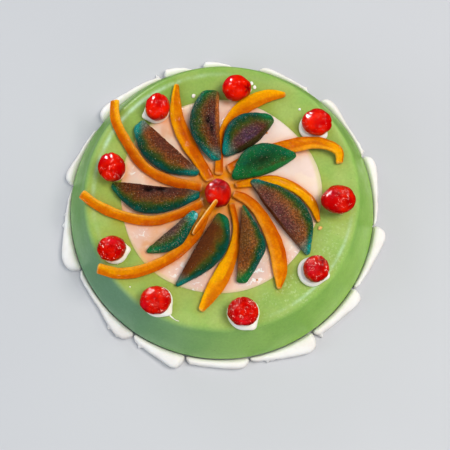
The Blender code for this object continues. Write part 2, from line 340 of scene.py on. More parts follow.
def paste_finish():
    """Green almond paste: satin and mottled with olive. Painted shade makes the wall greyer and bluer where
    it lies in shade and darkens the far side of the top, part of the olive is painted shadow beside the
    fruit, and a painted highlight runs along the rim.
    """
    f = Finish("almond_paste", (0.7, 1.0, 0.35), 0.1,
               Coat_Weight=0.05, Coat_Roughness=0.3, Specular_IOR_Level=0.3)
    top = f.paint(
        (148, 184, 92),
        (f.patches(14), 168, 192, 104),
        # olive, partly painted shadow beside the fruit
        (f.broken("olive", 9, 0.3, 0.62, 0.35), 166, 166, 56),
        (f.times(f.mark("dust"), f.spread(f.grain(0.9, 2), 0.54, 0.7, 0, 0.5)), 206, 222, 166),
    )
    # The wall, greyer and bluer where painted shade lies on it
    wall = f.paint((140, 188, 82), (f.patches(18), 158, 200, 96), ("painted_wall_shade", 118, 160, 124))
    shade = f.blend(f.mark("wall"), top, wall)
    shade = f.paint(
        # painted shade on the far side of the top
        f.blend(f.mark("painted_top_shade"), shade, (0.68, 0.78, 0.54, 1), "MULTIPLY"),
        # painted highlight along the rim
        (f.broken("painted_rim_highlight", 5, 0.34, 0.6, 0.3), 196, 226, 188),
        (f.spread(f.cells(8), 0.07, 0.03, 0, 0.6), 92, 112, 48),
        (f.spread(f.cells(6.1), 0.06, 0.02, 0, 0.5), 206, 214, 150),
    )
    shade = f.blend(0.16, shade, f.spread(f.grain(1.0, 2), 0.3, 0.7, 0.4, 1.0), "MULTIPLY")
    normal = f.relief(f.grain(9), 0.35, f.relief(f.grain(1.4), 0.07))
    return f.set(shade, Roughness=f.patches(7, 0.3, 0.7, 0.3, 0.48), Normal=normal)


def icing_finish():
    """Poured icing: pale and glossy, peach on one side, stained orange by fruit and syrup, and flecked with
    painted highlights where it is wet and wrinkled."""
    f = Finish("poured_icing", (1.0, 0.6, 0.4),
               Coat_Weight=0.6, Coat_Roughness=0.1, Coat_IOR=1.9, Specular_IOR_Level=0.1)
    shade = f.paint(
        (240, 212, 200),
        (f.patches(12), 244, 222, 212),
        (f.broken("peach", 14, 0.38, 0.6, 0.4), 234, 170, 124),
        (f.patches(9, 0.46, 0.64, 0, 0.6), 248, 226, 202),
        (f.broken("stain", 5, 0.25, 0.6, 0.45), 232, 150, 80),
        (f.broken("syrup", 5, 0.2, 0.55, 0.75), 230, 138, 10),
        ("edge", 206, 202, 116),
        (f.times(f.mark("wet"), 0.5), 230, 196, 190),
        # painted highlights: pale flecks on the wet wrinkles
        (f.times(f.spread(f.grain(1.8, 2, 0.5, 0.8), 0.57, 0.64, 0, 0.9), f.mark("wet")), 255, 252, 248),
    )
    normal = f.relief(f.grain(4), 0.25)
    roughness = f.patches(9, 0.35, 0.65, 0.16, 0.34)
    return f.set(shade, Roughness=roughness, Normal=normal, Coat_Normal=normal)


def border_finish():
    """White icing with a soft sheen."""
    f = Finish("white_icing", (1.0, 0.85, 0.7), Coat_Weight=0.1, Coat_Roughness=0.4)
    shade = f.paint((240, 232, 226), (f.patches(10), 248, 243, 239))
    normal = f.relief(f.grain(2.2), 0.14)
    return f.set(shade, Roughness=f.patches(4, 0.3, 0.7, 0.4, 0.6), Normal=normal)


def cream_finish():
    """Cream, reddened where a cherry lies in it."""
    f = Finish("cream", (1.0, 0.85, 0.65), 0.15, 2.0, Coat_Weight=0.2, Coat_Roughness=0.3)
    shade = f.paint((248, 238, 222), (f.patches(4), 253, 248, 240), ("stain", 250, 180, 140))
    normal = f.relief(f.grain(1.5), 0.06)
    return f.set(shade, Roughness=f.patches(3, 0.3, 0.7, 0.3, 0.5), Normal=normal)


def peel_finish():
    """Candied orange peel: clear and glossy, yellower on its bright side by painted light, redder on its
    shaded side and low down by painted shade, and redder in creases.
    """
    f = Finish("orange_peel", (1.0, 0.35, 0.02), 0.2,
               Coat_Weight=0.22, Coat_Roughness=0.1, Coat_IOR=1.8, Specular_IOR_Level=0.05)
    shade = f.paint(
        (208, 102, 0),
        (f.spread(f.grain(4.5, 4, 0.6, 0.6), 0.34, 0.66), 236, 144, 0),
        # yellow: the peel's own colour, and painted light on the bright side
        (f.broken("yellow", 5, 0.25, 0.6, 0.45), 242, 172, 0),
        # red: the peel's own colour, and painted shade on the shaded side and low down
        (f.broken("red", 4, 0.25, 0.6, 0.6), 188, 74, 0),
        (f.broken("pith", 2.5, 0.25, 0.6, 0.5), 246, 196, 120),
        (f.spread(f.cells(2.6), 0.16, 0.06, 0, 0.25), 176, 78, 4),
    )
    shade = f.blend(0.3, shade, f.spread(f.grain(0.9, 2), 0.35, 0.65, 0.7, 1.15), "MULTIPLY")
    normal = f.relief(f.grain(3), 0.2, f.relief(f.cells(1.3), 0.05))
    roughness = f.patches(3, 0.3, 0.7, 0.18, 0.34)
    return f.set(shade, Roughness=roughness, Normal=normal, Coat_Normal=normal)


def wedge_finish():
    """Candied green fruit: brown at the core, then olive, and dark teal at the skin, grained all over."""
    f = Finish("green_fruit", Specular_IOR_Level=0.12)
    drift = f.spread(f.grain(4, 4, 0.65), 0.3, 0.7, -0.07, 0.07)
    mottle = f.patches(5, 0.3, 0.7, 0.5)
    bright = f.mark("bright")
    shade = f.paint(
        f.ramp(f.combine("ADD", f.mark("rind"), drift), (
            (0, 62, 24, 4), (0.2, 74, 32, 8), (0.44, 86, 42, 6), (0.6, 86, 56, 8),
            (0.74, 54, 66, 16), (0.87, 10, 58, 32), (1, 0, 78, 70),
        )),
        (f.times(f.mark("violet"), mottle), 66, 48, 72),
        (f.times(f.mark("warm"), mottle), 152, 72, 30),
        (f.times(f.mark("green"), mottle), 14, 92, 44),
        ("amber", 186, 102, 44),
        ("dark", 22, 8, 6),
        (bright, 8, 140, 130),
        ("leaf", 14, 112, 50),
        (f.times(f.spread(bright, 0.82, 0.96), f.patches(1.2, 0.35, 0.6, 0.4)), 120, 196, 200),
    )
    sugar = f.mark("sugar")
    grainy = f.spread(f.grain(0.7, 2), 0.42, 0.68, 0.7, 1.7)
    sparkle = f.times(f.spread(f.grain(0.6, 2), 0.6, 0.72, 0, 0.6), sugar)
    shade = f.blend(f.spread(sugar, 0, 0.5, 0.3, 1.0), shade, grainy, "MULTIPLY")
    shade = f.paint(shade, (sparkle, 150, 124, 88))
    normal = f.relief(f.grain(0.8, 2), 0.12, f.relief(f.grain(2.4, 4, 0.6), 0.2))
    return f.set(shade, Roughness=f.patches(2, 0.3, 0.7, 0.34, 0.6), Normal=normal)


def sugar_finish():
    f = Finish("sugar")
    shade = f.paint((104, 84, 66), (f.patches(3), 184, 168, 144))
    return f.set(shade, Roughness=f.patches(1, 0.3, 0.7, 0.15, 0.4))


def cherry_finish():
    """Candied cherry: clear deep red under a glossy syrup, with a rosy painted sheen on one side, painted
    shade low down and in its folds, and painted highlights as pale flecks where the skin is puckered.
    """
    f = Finish("candied_cherry", (1.0, 0.06, 0.02), 0.25,
               Coat_Weight=0.8, Coat_Roughness=0.08, Coat_IOR=1.7, Specular_IOR_Level=0)
    painted_glints = f.spread(f.grain(1.3, 3, 0.6, 1.2), 0.6, 0.67, 0, 0.9)
    shade = f.paint(
        (202, 0, 0),
        (f.patches(6, 0.34, 0.66), 242, 28, 0),
        # painted sheen, rosier on one side
        ("painted_sheen", 232, 20, 40),
        # deep: the pit and maroon, and painted shade low down and in folds
        ("deep", 130, 0, 2),
        # painted highlights as pale flecks
        (f.times(painted_glints, f.mark("painted_glints")), 255, 200, 186),
    )
    normal = f.relief(f.grain(1.6), 0.16)
    wet = f.relief(f.times(f.grain(3), f.mark("puckered")), 0.5)
    roughness = f.patches(4, 0.3, 0.7, 0.1, 0.22)
    return f.set(shade, Roughness=roughness, Normal=normal, Coat_Normal=wet)


# -------- cake and icing

# Where syrup has wrinkled the icing: x, y and size
WRINKLES = (
    (31, -60, 9), (20, -68, 9), (-20, -72, 9), (-34, -62, 7), (-62, -30, 6), (-68, 17, 6), (60, -48, 8),
)
CAKE_COLUMNS, CAKE_ROWS = 420, 68
ICING_COLUMNS, ICING_ROWS = 320, 80


def icing_edge(grow, height, angle):
    """The edge of the poured icing, a circle that wavers a little."""
    waver = 1.2 * np.cos(3 * angle - 0.5) + 0.8 * np.sin(5 * angle + 1.0)
    return ICING_CENTRE + polar(ICING_RADIUS + grow + waver, angle, height)


def wall_profile(rows):
    """Radius and height from the flat top over the rim and down the wall, evenly spaced."""
    turn = np.radians(np.linspace(90, 25, 12))
    arc_height = CREST_HEIGHT - SHOULDER
    radius = CREST_RADIUS + SHOULDER * np.cos(turn)
    height = arc_height + SHOULDER * np.sin(turn)
    border = radius[-1] + (height[-1] - BORDER_HEIGHT) * math.tan(WALL_LEAN)
    radius = np.concatenate([[88, 92.5, 97], radius, [border, FOOT_RADIUS - 0.6, FOOT_RADIUS - 4.5]])
    brink = TOP_LEVEL + np.array((0, 0.05, 0.25))
    height = np.concatenate([brink, height, [BORDER_HEIGHT, 4.5, 0]])
    length = np.concatenate([[0], np.cumsum(np.hypot(np.diff(radius), np.diff(height)))])
    even = np.linspace(0, length[-1], rows)
    return np.interp(even, length, radius), np.interp(even, length, height)


def make_cake(material, near_fruit):
    angle = circle(CAKE_COLUMNS)
    floor = TOP_LEVEL - ICING_DEPTH
    rings = [icing_edge(GAP, floor, angle), icing_edge(GAP, TOP_LEVEL - 0.3, angle)]
    lip = icing_edge(GAP + 0.3, TOP_LEVEL, angle)
    radius, height = wall_profile(CAKE_ROWS)
    start = polar(radius[0], angle, height[0])
    rings += [lip + (start - lip) * share for share in np.linspace(0, 1, 7)[:-1]]
    rings += [polar(r, angle, h) for r, h in zip(radius, height)]
    rings = np.array(rings)
    reach = np.hypot(rings[..., 0], rings[..., 1])
    wall = step(CREST_RADIUS + 1, CREST_RADIUS + 7, reach)
    loose = wall * step(7, 14, rings[..., 2])
    away = unit(rings * (1, 1, 0))
    rings = rings + away * (loose * 0.55 * rough(rings, 34, 3, 2))[..., None]
    top = step(ICING_RADIUS + 3, ICING_RADIUS + 7, reach) * (1 - wall)
    rings[..., 2] += top * (0.14 * rough(rings, 13, 5, 2) + 0.05 * bumps(rings, 2.4, 6))
    azimuth = bearing(rings)
    # Olive: a tint that bleeds in from the icing's edge and spreads on the left, and, beside the fruit,
    # painted shadow.
    olive = np.exp(-np.maximum(reach - ICING_RADIUS - 1, 0) / 7) * 0.45 + 0.5 * near_fruit(rings, 4.5)
    past_crest = reach - CREST_RADIUS
    # Painted highlight: pale streaks along the rim on the upper left and lower right, and a fainter band on
    # the wall below the rim.
    painted_rim_highlight = hill(azimuth, 140, 40) * (0.9 * hill(past_crest, -2.5, 1.6) + 0.4 * hill(past_crest, 8, 1.5))
    painted_rim_highlight = painted_rim_highlight + 0.8 * hill(azimuth, 322, 22) * hill(past_crest, -0.5, 1.1)
    # Painted shade: the wall greyer and bluer on the lower left, and a little on the upper left.
    painted_wall_shade = hill(azimuth, 222, 42) + 0.25 * hill(azimuth, 150, 30)
    dust = hill(azimuth, 315, 32) * step(ICING_RADIUS + 1, ICING_RADIUS + 9, reach)
    olive = olive * (1 - wall) + 0.3 * hill(azimuth, 195, 40) * (1 - wall)
    # Painted shade: the top darkened towards its far side, round azimuth 108 degrees.
    painted_top_shade = 0.7 * hill(azimuth, 108, 50) * (1 - wall)
    marks = {"wall": wall, "olive": olive, "painted_rim_highlight": painted_rim_highlight, "painted_wall_shade": painted_wall_shade, "dust": dust, "painted_top_shade": painted_top_shade}
    make_piece("paste_cake", rings, material, "cake_body", marks)


def make_icing(material, near_fruit):
    angle = circle(ICING_COLUMNS)
    floor = TOP_LEVEL - ICING_DEPTH + GAP
    rings = [icing_edge(0, floor, angle), icing_edge(0, TOP_LEVEL + 0.04, angle)]
    for grow, up in ((0.9, 0.06), (1.0, 0.14), (0.6, 0.24)):
        rings.append(icing_edge(grow, TOP_LEVEL + up, angle))
    inner = icing_edge(-0.4, ICING_TOP, angle)
    middle = np.array((*ICING_CENTRE[:2], ICING_TOP))
    rings += [middle + (inner - middle) * share for share in np.linspace(1, 0.01, ICING_ROWS)]
    rings = np.array(rings)
    close = near_fruit(rings, 1.6)
    reach = np.linalg.norm(rings[..., :2] - ICING_CENTRE[:2], axis=-1)
    inside = step(ICING_RADIUS - 1, ICING_RADIUS - 6, reach)
    inside[:2] = 0
    wrinkled = sum(
        hill(np.hypot(rings[..., 0] - x, rings[..., 1] - y), 0, size) for x, y, size in WRINKLES
    )
    waves = 0.12 * rough(rings, 9, 11, 2) + 0.28 * wrinkled * (1 - np.abs(rough(rings, 6, 13, 2)))
    rings[..., 2] += inside * (0.22 * close + (1 - close) * waves)
    azimuth = bearing(rings)
    peach = (0.2 + 1.0 * hill(azimuth, 180, 70)) * (1 - 0.9 * hill(azimuth, 20, 60))
    marks = {
        "stain": near_fruit(rings, 3.2) * 0.7,
        "syrup": step(40, 16, reach) * (0.7 + 0.3 * near_fruit(rings, 4.0)),
        "edge": (1 - step(0, 3.0, ICING_RADIUS + 1 - reach)) * 0.5,
        "peach": peach,
        # the wet wrinkles, where the painted highlights go
        "wet": wrinkled * (1 - close),
    }
    make_piece("icing_pool", rings, material, "icing_disc", marks)


# -------- white border at the foot

# Each stroke, going clockwise seen from above: azimuth in degrees of its head and of its tail, and
# how far it reaches from the cake's axis at its head, its middle and its tail
STROKES = (
    (171, 147, 136, 131.5, 130.5), (143, 114.5, 137, 133.5, 132), (113, 101.5, 135, 133.5, 130),
    (97.5, 86, 134, 133, 130), (75.5, 54, 133.3, 132, 131), (48.3, 21, 135.5, 131, 131.5),
    (20.3, -6.7, 137, 133, 131), (-7.2, -32, 139.3, 134.5, 132), (-32.5, -54.7, 138.8, 135.3, 134),
    (-55.3, -79.8, 141.2, 135.5, 131.5), (-80.3, -103, 135.3, 133.5, 133),
    (-103.5, -123.5, 139.3, 135.5, 132.5), (-124, -155.3, 137.8, 131.5, 131.5),
    (-155.8, -188.5, 140, 133, 129.5),
)
# Along a stroke: place, then the shares of its width at the head, the middle and the tail
STROKE_STATIONS = (
    (0, 0.42, 0, 0), (0.04, 0.8, 0, 0), (0.1, 0.97, 0, 0), (0.18, 1, 0, 0), (0.32, 0.62, 0.38, 0),
    (0.5, 0.1, 0.9, 0), (0.75, 0, 0.5, 0.5), (0.93, 0, 0, 1), (1, 0, 0, 0.55),
)
STROKE_END = 2.2  # the last stretch of a stroke, where it is rounded off
HEAD_WIDTH = 12
HEAD_HEIGHT = 12
TAIL_HEIGHT = 5.5
# Ragged tails, where the icing tore off: stroke, azimuth in degrees, reach and width
TEARS = (
    (2, 115.3, 5.5, 1.7), (5, 56, 2, 1.5), (6, 22.5, 2, 2), (9, -53, 2.5, 1.5), (10, -71, -1.6, 1.2),
    (10, -74, 1.6, 1.1), (12, -120, 2.4, 1.4), (13, -132.5, 2.6, 1.5), (13, -128.5, 1.5, 1),
    (14, -173.5, 2.6, 1.7), (14, -177.5, 1.4, 1.1),
)


def make_border(material):
    inner = FOOT_RADIUS + GAP
    turn = circle(44, 0.5) - math.pi / 2
    kernel = np.hanning(9) / np.hanning(9).sum()
    stations, *columns = zip(*STROKE_STATIONS)
    for number, (head, tail, *reaches) in enumerate(STROKES, 1):
        length = math.radians(head - tail) * inner
        place = end_rows(100, length, STROKE_END)
        shares = np.stack([np.interp(place, stations, column) for column in columns])
        width = (shares * (np.array(reaches)[:, None] - inner)).sum(0)
        width = np.convolve(np.pad(width, 4, mode="edge"), kernel, mode="valid")
        top = TAIL_HEIGHT + (HEAD_HEIGHT - TAIL_HEIGHT) * np.minimum(width / HEAD_WIDTH, 1)
        azimuth = (head + (tail - head) * place)[:, None]
        height = np.maximum(0, top[:, None] * (0.42 + 0.58 * np.sin(turn)))
        lean = np.maximum(0, height - BORDER_HEIGHT) * math.tan(WALL_LEAN)
        radius = inner + width[:, None] / 2 * (1 + np.cos(turn)) - lean
        for stroke, where, reach, size in TEARS:
            if stroke == number:
                near = hill(np.radians(azimuth - where) * inner, 0, size)
                radius = radius + reach * near * step(0.2, 1, np.cos(turn)) * hill(height, 2, 3)
        rings = polar(radius, np.radians(azimuth), height)
        rings = round_ends(rings, place, length, STROKE_END, 0.25)
        outer_side = step(-0.2, 0.5, np.cos(turn)) * step(0, 2, height)
        ragged = 0.25 + 0.75 * step(0.55, 0.95, place)[:, None]
        relief = outer_side * ragged * (0.5 * rough(rings, 7, number, 3) + 0.15 * bumps(rings, 1.6, number))
        rings = rings + outward(rings) * relief[..., None]
        rings[..., 2] = np.maximum(rings[..., 2], 0)
        make_piece(f"icing_stroke_{number:02}", rings, material, f"border_{number:02}")


# -------- candied orange peel

# Each strip from its outer to its inner end: x, y and width. The last is a narrow one that lies on the
# fourth and leans up against the cherry in the middle.
PEELS = (
    ((-37, 92, 3), (-37.5, 78, 8), (-36, 62, 11), (-29, 44, 12), (-19, 27, 10), (-9, 10, 8)),
    ((-87, 78, 7), (-86, 62, 8), (-78, 45, 8), (-62, 22, 8), (-41, 10, 8), (-15, 4, 7)),
    ((-111, -1, 7), (-97, -11, 8), (-78, -19, 8), (-56, -23, 8), (-35, -18, 7.5), (-14.5, -8, 6)),
    ((-96, -61, 8), (-78, -65, 9), (-57, -61, 9), (-35, -49, 9), (-20.5, -32, 11), (-12, -14.5, 7)),
    ((-16, -94, 4), (-7, -79, 12), (2, -63, 13), (9, -46, 8), (11, -27, 5), (7.5, -8.5, 4.5)),
    ((44, -77, 3), (45, -61, 12), (41, -40, 12), (31, -19, 10), (21, -7, 8), (9, -0.5, 6)),
    ((76, -24, 3), (71, -9, 8), (59, 3, 8), (42, 10, 8), (25, 8.5, 7), (10.5, 6, 5)),
    ((94, 24, 5), (92, 34, 8), (76, 40, 10), (53, 38, 12), (28, 30, 11), (5, 18.5, 9)),
    ((52, 83, 3), (37, 82, 11), (20, 74, 12), (6, 62, 7), (-1, 45, 5), (-2.5, 14.5, 7)),
    ((-22.3, -35.3, 2.5), (-19.2, -31, 4), (-14.1, -24.5, 4), (-9, -17.9, 4), (-3.6, -11, 2.5)),
)
# How far a strip that doesn't lie flat is lifted at each of those places
PEEL_LIFTS = {8: (0, 4, 5, 1, 0, 0), 10: (4.8, 6.6, 10.3, 14, 17.4)}
# How each strip looks: yellow and then red at its outer end, middle and inner end, where across it the
# ridge runs between its bright and its shaded side, which of them is on the left (1 or -1, looking
# inwards), and how much white pith shows. A share above 1 spreads its colour further.
PEEL_LOOKS = (
    ((0.9, 0.2, 0), (0, 0.1, 0.4), 0.5, -1, 0),
    ((1, 0.4, 0), (0, 0.5, 0.6), -0.1, 1, 0.1),
    ((0.6, 0.5, 0), (0.1, 0.3, 0.8), 0, 1, 0.15),
    ((0.7, 0.2, 0.1), (0.1, 0.3, 0.3), -0.1, 1, 0.1),
    ((0.9, 0.8, 0), (0, 0.1, 0.6), -0.1, 1, 0),
    ((0.2, 0.1, 0), (0.1, 0.35, 0.6), -0.4, 1, 0.1),
    ((0.4, 0.8, 0), (0.3, 0, 0.4), -0.5, 1, 0),
    ((1, 0.1, 0), (0, 0.2, 0.6), -0.5, 1, 0.05),
    ((0.7, 0.4, 0), (0, 0.1, 0.6), -0.2, -1, 0),
    ((0, 0, 0.3), (0.4, 0.2, 0), -0.3, 1, 1.4),
)
# Lengthwise creases: strip, place across it from -1 to 1, start, end and depth
CREASES = (
    (1, 0.15, 0.35, 0.9, 0.4), (2, -0.2, 0.5, 0.95, 0.6), (3, 0.3, 0.05, 0.6, 0.6),
    (5, 0.05, 0.05, 0.7, 0.7), (6, -0.45, 0.1, 0.7, 0.5), (7, -0.5, 0.1, 0.8, 0.4),
    (8, 0.2, 0.2, 0.7, 0.4), (9, -0.15, 0.1, 0.5, 0.6), (9, 0.2, 0.6, 0.95, 0.5),
)
PEEL_END = 1.6  # the last stretch of a strip, where its edges are rounded off


def resting_height(place):
    """How high a piece with this middle lies, on the icing or on the rim."""
    past = np.hypot(place[..., 0], place[..., 1]) - RIM_REST_RADIUS
    return REST_LEVEL + RIM_RISE * np.clip(past / 8, 0, 1)


def band_section(columns):
    """Place across a strip, -0.5 to 0.5, and height, 0 to 1, round a band with full edges."""
    turn = circle(columns, 0.5)
    across = 0.5 * np.sign(np.cos(turn)) * np.abs(np.cos(turn)) ** 0.5
    return across, 0.5 + 0.5 * np.sign(np.sin(turn)) * np.abs(np.sin(turn)) ** 0.6


def make_peels(material):
    across, up = band_section(52)
    for number, (route, look) in enumerate(zip(PEELS, PEEL_LOOKS), 1):
        yellows, reds, ridge, bright_side, pith = look
        route = np.array(route, float)
        length = np.hypot(*np.diff(route[:, :2], axis=0).T).sum()
        t = end_rows(120, length, PEEL_END)
        x, y, width = spline(route, t).T
        lift = spline(PEEL_LIFTS.get(number, [0] * len(route)), t)
        ahead = spline(route, np.minimum(t + 0.01, 1)) - spline(route, np.maximum(t - 0.01, 0))
        side = unit(np.stack([-ahead[:, 1], ahead[:, 0], 0 * t], axis=-1))
        middle = np.stack([x, y, 0 * t], axis=-1)
        base = resting_height(middle) + np.maximum(lift, 0)
        waver = 1 + 0.05 * bumps(middle, 9, number)
        rings = middle[:, None] + side[:, None] * (across * (width * waver)[:, None])[..., None]
        bright = across[None] * 2 * bright_side
        past_ridge = np.maximum(0, ridge + 0.2 * bumps(middle, 16, 20 + number)[:, None] - bright)
        slope = 0.12 * (1 - bright) + 0.34 * past_ridge
        rings[..., 2] = base[:, None] + PEEL_THICKNESS * (up - slope * step(0.5, 1, up) * 0.8)
        rings = round_ends(rings, t, length, PEEL_END, 0.4)
        relief = 0.26 * rough(rings, 6, 40 + number, 3) * step(0.1, 0.4, up)
        creased = np.zeros_like(relief)
        for strip, offset, start, end, depth in CREASES:
            if strip == number:
                line = offset + 0.25 * bumps(middle, 12, 60 + number)
                groove = hill(across[None] * 2, line[:, None], 0.16) * step(0.5, 0.95, up)
                groove = groove * (step(start, start + 0.08, t) * step(end, end - 0.08, t))[:, None]
                creased = np.maximum(creased, groove)
                relief = relief - depth * groove
        rings = rings + outward(rings) * relief[..., None]
        # Painted light and shade: the bright side is painted yellower, and the shaded side and the lower
        # faces redder.
        shaded = step(0, 0.25, past_ridge)
        low = 1 - step(0.1, 0.75, up)
        yellow = spline(yellows, t)[:, None] + 0.35 * step(0.2, 0.8, bright)
        end_face = np.minimum(t, 1 - t)[:, None] * length
        pale_edge = pith * step(0.25, 0.7, bright) * step(0.3, 0.7, up)
        marks = {
            "yellow": yellow * (1 - 0.7 * shaded),
            "red": spline(reds, t)[:, None] + 0.5 * shaded + 0.45 * low + 0.4 * creased,
            "pith": pale_edge + 0.35 * (1 - step(0.6, 2.0, end_face)) * step(0.3, 0.8, up),
        }
        make_piece(f"orange_strip_{number}", rings, material, f"peel_{number}", marks)


# -------- green candied wedges

# Each wedge: outer and inner end of its core edge, how far that edge bows out, widths from there to
# the skin at even steps from outer to inner end, height, and lift of both ends
WEDGES = (
    ((-2, 87), (0, 26), -1, (14, 22, 25, 20, 8), 11, (0, 2)),
    ((43, 61), (3, 29), 6, (6, 17, 21, 17, 5), 11, (0, 2)),
    ((60, 30), (9, 10), 5, (3, 15, 20, 17, 4), 12, (0, 2)),
    ((66, -51), (22, 8), 2, (4, 20, 23, 17, 5), 11, (0, 2)),
    ((11, -72), (16, -11), 0, (8, 16, 21, 13, 2), 10, (0, 2)),
    ((-36, -74), (-3, -16), 1, (3, 14, 21, 20, 10), 10, (0, 2)),
    ((-59, -47), (-22, -15), 0, (3, 12, 15, 11, 6), 9, (0, 4)),
    ((-87, 9), (-17, 1), 0, (6, 20, 23, 17, 6), 10, (0, 1)),
    ((-64, 62), (-17, 17), 0, (11, 20, 22, 18, 5), 10, (0, 1)),
)
# How each wedge looks: how far its green reaches in from the skin, how violet, warm brown and green its
# cut face is, how bright its outer and inner tip are (teal, or green when below 0), how much sugar lies
# on it, and how dark, warm and green the face along its core is. A share above 1 spreads its colour.
WEDGE_LOOKS = (
    (0, 0.45, 0.1, 0, -0.5, 0.5, 0.9, 0, 1, 0),
    (0.12, 1, 0, 0, -0.8, 0.6, 0.4, 0.8, 0.2, 0.1),
    (0.45, 0, 0, 1.6, -0.6, -0.6, 0.3, 0, 0, 1),
    (0.02, 0.8, 0.9, 0.2, 0.8, 0.4, 0.9, 0.3, 0.3, 0),
    (0.06, 0, 1, 0.2, -0.8, -0.5, 0.5, 0, 0.6, 0),
    (0.04, 0, 0.1, 0, 0.5, -0.6, 0.1, 0.5, 0, 0.1),
    (0.2, 0.6, 0, 0.5, -0.8, 1, 0.8, 0.5, 0, 0.3),
    (0, 0.3, 0.1, 0, -0.3, 0.3, 0.4, 0.4, 0.2, 0),
    (0.02, 0.15, 0.5, 0, 0.7, 0.4, 0.4, 0.1, 0.3, 0),
)
# Hollows: wedge, place along it, distance from its core edge, length, width and depth. Wedge 3's is a
# shallow dip in its face, and the others were left by the core.
HOLLOWS = (
    (1, 0.46, 8.7, 3.6, 1.9, 2.6), (1, 0.57, 6.2, 5, 1.2, 1.6), (8, 0.43, 5.4, 5, 1.4, 2.6),
    (8, 0.56, 4.6, 5, 1.2, 2.4), (3, 0.52, 10, 13, 5, 0.9),
)
# Across the wedge: from the core edge (0) over the cut face and the ridge to the skin (1), and height
WEDGE_SECTION = (
    (0.05, 0), (0, 0.16), (0.03, 0.48), (0.16, 0.78), (0.44, 0.93), (0.74, 1), (0.89, 0.92),
    (0.98, 0.66), (1, 0.36), (0.95, 0.12), (0.86, 0),
)
WEDGE_END = 2.6  # the last stretch of a wedge, where it is rounded off
SHARPNESS = 0.7  # of the edges between a wedge's faces
SIDE_FACES = (1, 2, 3)  # wedges whose face along the core shows as a band from above
SUGAR_SIZE = 0.26
SUGAR_COUNT = 480  # grains on a wedge with full sugar


def wedge_section():
    """The section drawn finely: over the top with soft edges, then straight back along the bottom."""
    t = np.linspace(0, 1, 72)
    round_line = spline(WEDGE_SECTION, t)
    places = np.linspace(0, 1, len(WEDGE_SECTION))
    straight = np.stack([np.interp(t, places, column) for column in zip(*WEDGE_SECTION)], axis=-1)
    over = round_line + (straight - round_line) * SHARPNESS
    under = np.linspace(WEDGE_SECTION[-1], WEDGE_SECTION[0], 9)[1:-1]
    return np.concatenate([over, under]).T


def wedge_marks(number, look, rings, t, length, across, up, hollow_shade):
    """What the finish of a wedge reads at each point."""
    reach, violet, warm, green, outer_tip, inner_tip, sugar, side_dark, side_warm, side_green = look
    ends = np.exp(-np.minimum(t, 1 - t) * length / 5)[:, None]
    rind = across[None] + reach + 0.6 * ends + 0.05 * rough(rings, 7, 80 + number, 2)
    rind = rind + 0.5 * (1 - step(0.0, 0.5, up)) * step(0.5, 0.8, across)
    face = step(0.8, 0.55, rind)
    side = (1 - step(0.08, 0.17, across)) * (1 - 0.7 * ends)
    patchy = 0.75 + 0.5 * bumps(rings, 10, 180 + number)
    tips = np.stack([outer_tip * step(13, 2, t * length), inner_tip * step(13, 2, (1 - t) * length)])
    to_skin = 0.75 + 0.25 * step(0.3, 0.8, across)
    core = hill(across, 0.25, 0.25) * hill(t, 0.55, 0.28)[:, None]
    violetness = violet * patchy * face * (0.15 + 1.05 * core) * (1 - side)
    return {
        "rind": rind,
        "violet": violetness,
        "warm": warm * face * (1 - 0.7 * core) * (1 - side) * (1.5 - patchy),
        "amber": side_warm * side * (1.2 - 1.2 * t)[:, None],
        "green": green * (1.5 - patchy) * (1 - side) * (1 - violet * core) + side_green * side,
        # painted shade in the hollows
        "dark": np.maximum(hollow_shade, side_dark * side * 0.9),
        "bright": tips.max(0)[:, None] * to_skin,
        "leaf": (-tips).max(0)[:, None] * to_skin + 0.8 * side_green * side,
        "sugar": sugar * (0.35 + 0.65 * face) * (1 - 0.6 * side),
    }


def sugar_spots(sugar, rings, up, random):
    """Places for grains of sugar on the upper faces of a wedge."""
    normals = outward(rings)
    level = np.argwhere((normals[..., 2] > 0.5) & (up > 0.6))
    row, column = level[random.integers(0, len(level), int(SUGAR_COUNT * sugar))].T
    return rings[row, column] + random.uniform(-0.3, 0.3, (len(row), 3)) * (1, 1, 0)


def make_sugar(spots, material, random):
    """Loose grains, each an eight-sided crystal turned its own way."""
    corners = np.concatenate([np.eye(3), -np.eye(3)])
    sides = np.array((
        (0, 1, 2), (1, 3, 2), (3, 4, 2), (4, 0, 2), (1, 0, 5), (3, 1, 5), (4, 3, 5), (0, 4, 5),
    ))
    turns = np.linalg.qr(random.normal(size=(len(spots), 3, 3)))[0]
    turns[:, :, 0] *= np.linalg.det(turns)[:, None]
    sizes = SUGAR_SIZE * random.uniform(0.5, 1.25, (len(spots), 1, 3))
    points = spots[:, None] + (corners[None] * sizes) @ turns.transpose(0, 2, 1)
    faces = (sides + 6 * np.arange(len(spots))[:, None, None]).reshape(-1, 3).tolist()
    piece = place_mesh("sugar_grains", points.reshape(-1, 3), faces, material)
    piece.data.shade_flat()


